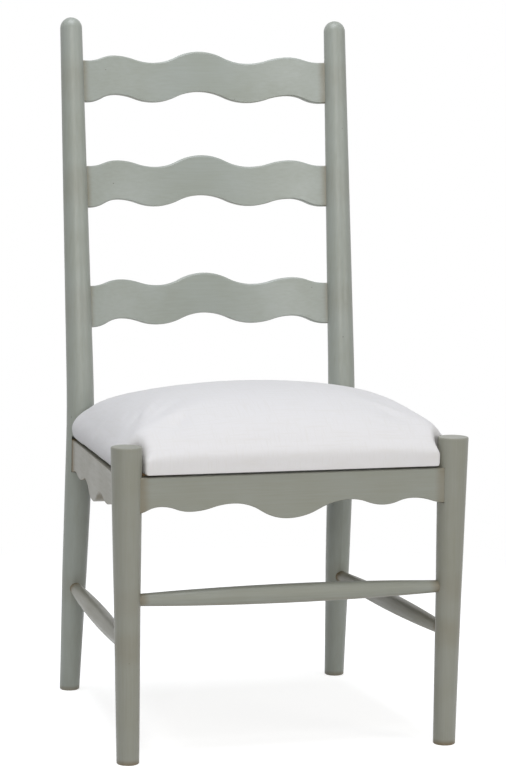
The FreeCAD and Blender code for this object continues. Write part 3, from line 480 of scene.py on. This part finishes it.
def smoothGroup(piece, name, group, turns, others=False):
    # evens out the points of a group, or all the others
    smoothed = piece.modifiers.new(name, "SMOOTH")
    smoothed.factor = cushion["smoothing"]
    smoothed.iterations = turns
    smoothed.vertex_group = group
    smoothed.invert_vertex_group = others
    bpy.ops.object.modifier_apply(modifier=name)


def stuffedForm():
    # cover, foam and board joined into one closed skin
    parts = [copyOf(name, "part of " + name) for name in ("seat_cover", "seat_foam", "seat_board")]
    deselectAll()
    for part in parts:
        part.select_set(True)
    bpy.context.view_layer.objects.active = parts[0]
    bpy.ops.object.join()
    piece = parts[0]
    piece.name = "linenSeat"
    piece.data.remesh_voxel_size = cushion["voxel"]
    bpy.ops.object.voxel_remesh()
    return piece


def undersideHeight(point, low, high):
    # the seat falls to the rear, so its underside does too
    share = (point.y - low.y) / (high.y - low.y)
    return low.z + (1.0 - share) * cushion["seatFall"]


def simulate(piece):
    started = [point.co.copy() for point in piece.data.vertices]
    cloth = piece.modifiers.new("swell", "CLOTH")
    cloth.settings.quality = cushion["stiffSteps"]
    cloth.settings.use_pressure = True
    cloth.settings.uniform_pressure_force = cushion["pressure"]
    cloth.settings.vertex_group_mass = "held"
    cloth.settings.effector_weights.gravity = 0.0
    cloth.point_cache.frame_end = cushion["frames"]
    for step in range(1, cushion["frames"] + 1):
        bpy.context.scene.frame_set(step)
    bpy.ops.object.modifier_apply(modifier="swell")
    bpy.context.scene.frame_set(1)
    for point, begun in zip(piece.data.vertices, started):
        move = point.co - begun
        if move.length > cushion["mostSwell"]:
            point.co = begun + move.normalized() * cushion["mostSwell"]


def swell(piece):
    # the free cloth is drawn in, blown up and eased back to the board's edge
    low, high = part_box("seat_cover")
    held = piece.vertex_groups.new(name="held")
    free = []
    loose = []
    whole = []
    for point in piece.data.vertices:
        above = point.co.z - undersideHeight(point.co, low, high) - cushion["heldBelow"]
        if above < 0.0:
            held.add([point.index], 1.0, "REPLACE")
        else:
            free.append(point.index)
            loose.append(min(1.0, above / cushion["blend"]))
            whole.append(point.co.copy())
    for index in free:
        point = piece.data.vertices[index]
        point.co -= point.normal * cushion["drawnIn"]
    pickUp(piece)
    simulate(piece)
    for index, share, begun in zip(free, loose, whole):
        point = piece.data.vertices[index]
        point.co = begun.lerp(point.co, share)


def pullCorners(piece):
    # the cover goes smoothly round the notches at the front legs
    corners = piece.vertex_groups.new(name="corners")
    legX, legY = cushion["legPlace"]
    for point in piece.data.vertices:
        away = math.hypot(abs(point.co.x) - legX, point.co.y - legY)
        near = clamped((cushion["cornerReach"] - away) / cushion["cornerFade"])
        near *= clamped((point.co.z - cushion["cornerLevel"]) / cushion["cornerRise"])
        if near > 0.0:
            corners.add([point.index], near, "REPLACE")
            over = clamped((point.co.z - cushion["leanLevel"]) / cushion["leanRise"]) * near
            side = math.copysign(1.0, point.co.x)
            point.co.x += side * (legX - abs(point.co.x)) / away * cushion["lean"] * over
            point.co.y += (legY - point.co.y) / away * cushion["lean"] * over
    smoothGroup(piece, "pulled", "corners", cushion["cornerTurns"])


def makeCushion():
    piece = stuffedForm()
    swell(piece)
    pullCorners(piece)
    smoothGroup(piece, "soft", "held", cushion["softTurns"], others=True)
    rounded = piece.modifiers.new("round", "SUBSURF")
    rounded.levels = 1
    rounded.render_levels = 1
    bpy.ops.object.modifier_apply(modifier="round")
    bpy.ops.object.shade_smooth()
    piece.data.materials.clear()
    putOn(piece, linenFinish)
    return piece


linenSeat = makeCushion()
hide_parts("seat_cover", "seat_foam")
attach(linenSeat, "root")
print("cushion made:", len(linenSeat.data.vertices), "points")


# Studio: floor, light and camera
studio = {
    "floor": 12.0,
    "catchNear": 0.75,        # the floor takes the chair's shadow inside this distance
    "catchFar": 1.4,
    "floorColour": "#EDEDED",
    "floorLift": 0.70,        # what the camera sees of the floor is this much lighter
    "ambient": 0.27,
    "ambientColour": "#F4F7FA",
}
lamps = {
    "overhead": {"place": (-0.3, -0.4, 3.1), "size": 2.0, "power": 46.0, "colour": "#F6F9FF"},
    "frontLeft": {"place": (-0.9, -3.6, 1.5), "size": 1.6, "power": 37.0, "colour": "#FFFBF4"},
    "frontRight": {"place": (2.5, -2.6, 1.3), "size": 1.4, "power": 17.0, "colour": "#FFFBF4"},
}


def makeFloor():
    bpy.ops.mesh.primitive_plane_add(size=studio["floor"], location=(0.0, 0.0, 0.0))
    floor = bpy.context.object
    floor.name = "studioFloor"
    finish = newFinish("paleFloor")
    paper = addNode(finish, "ShaderNodeBsdfDiffuse", {"Color": colourOf(studio["floorColour"])}).outputs[0]
    place = addNode(finish, "ShaderNodeTexCoord").outputs["Object"]
    away = addNode(finish, "ShaderNodeVectorMath", {0: place}, operation="LENGTH").outputs["Value"]
    farShare = addNode(finish, "ShaderNodeMapRange",
                       {0: away, 1: studio["catchNear"], 2: studio["catchFar"]},
                       interpolation_type="SMOOTHSTEP").outputs[0]
    white = addNode(finish, "ShaderNodeEmission", {"Color": (1.0, 1.0, 1.0, 1.0), "Strength": 1.0}).outputs[0]
    lift = addNode(finish, "ShaderNodeEmission",
                   {"Color": (1.0, 1.0, 1.0, 1.0), "Strength": studio["floorLift"]}).outputs[0]
    lifted = addNode(finish, "ShaderNodeAddShader", {0: paper, 1: lift}).outputs[0]
    seen = addNode(finish, "ShaderNodeMixShader", {0: farShare, 1: lifted, 2: white}).outputs[0]
    rays = addNode(finish, "ShaderNodeLightPath").outputs
    plain = addNode(finish, "ShaderNodeMath", {0: rays["Is Camera Ray"], 1: rays["Is Glossy Ray"]},
                    operation="MAXIMUM").outputs[0]
    shown = addNode(finish, "ShaderNodeMixShader", {0: plain, 1: paper, 2: seen}).outputs[0]
    addNode(finish, "ShaderNodeOutputMaterial", {"Surface": shown})
    putOn(floor, finish)


def makeWorld():
    world = bpy.data.worlds.new("studioWorld")
    bpy.context.scene.world = world
    world.use_nodes = True
    world.node_tree.nodes.clear()
    ambient = addNode(world, "ShaderNodeBackground",
                      {"Color": colourOf(studio["ambientColour"]), "Strength": studio["ambient"]}).outputs[0]
    white = addNode(world, "ShaderNodeBackground", {"Color": (1.0, 1.0, 1.0, 1.0), "Strength": 1.0}).outputs[0]
    rays = addNode(world, "ShaderNodeLightPath").outputs
    seen = addNode(world, "ShaderNodeMath", {0: rays["Is Camera Ray"], 1: rays["Is Glossy Ray"]},
                   operation="MAXIMUM").outputs[0]
    seen = addNode(world, "ShaderNodeMath", {0: seen, 1: rays["Is Transmission Ray"]},
                   operation="MAXIMUM").outputs[0]
    shown = addNode(world, "ShaderNodeMixShader", {0: seen, 1: ambient, 2: white}).outputs[0]
    addNode(world, "ShaderNodeOutputWorld", {"Surface": shown})


def hangLamps():
    target = Vector((0.0, 0.0, 0.5))
    for name, lamp in lamps.items():
        bpy.ops.object.light_add(type="AREA", location=lamp["place"])
        light = bpy.context.object
        light.name = name
        light.data.shape = "DISK"
        light.data.size = lamp["size"]
        light.data.energy = lamp["power"]
        light.data.color = colourOf(lamp["colour"])[:3]
        light.rotation_euler = (target - Vector(lamp["place"])).to_track_quat("-Z", "Y").to_euler()


photoView = {
    "standpoint": (-1.1320, -3.8993, 0.9999),
    "turned": 16.41,       # degrees towards +X
    "tilted": -7.05,
    "rolled": 0.66,
    "lens": 126.0,
    "sensor": 36.0,
}


def placeCamera():
    turned, tilted, rolled = (math.radians(photoView[name]) for name in ("turned", "tilted", "rolled"))
    ahead = Vector((math.sin(turned) * math.cos(tilted),
                    math.cos(turned) * math.cos(tilted),
                    math.sin(tilted)))
    level = ahead.cross(Vector((0.0, 0.0, 1.0))).normalized()
    upright = level.cross(ahead)
    sideways = level * math.cos(rolled) + upright * math.sin(rolled)
    upwards = upright * math.cos(rolled) - level * math.sin(rolled)
    bpy.ops.object.camera_add()
    camera = bpy.context.object
    camera.data.lens = photoView["lens"]
    camera.data.sensor_width = photoView["sensor"]
    turn = Matrix((sideways, upwards, -ahead)).transposed().to_4x4()
    camera.matrix_world = Matrix.Translation(photoView["standpoint"]) @ turn
    bpy.context.scene.camera = camera


makeFloor()
makeWorld()
hangLamps()
placeCamera()
bpy.context.scene.view_settings.view_transform = "Standard"
print("studio ready")
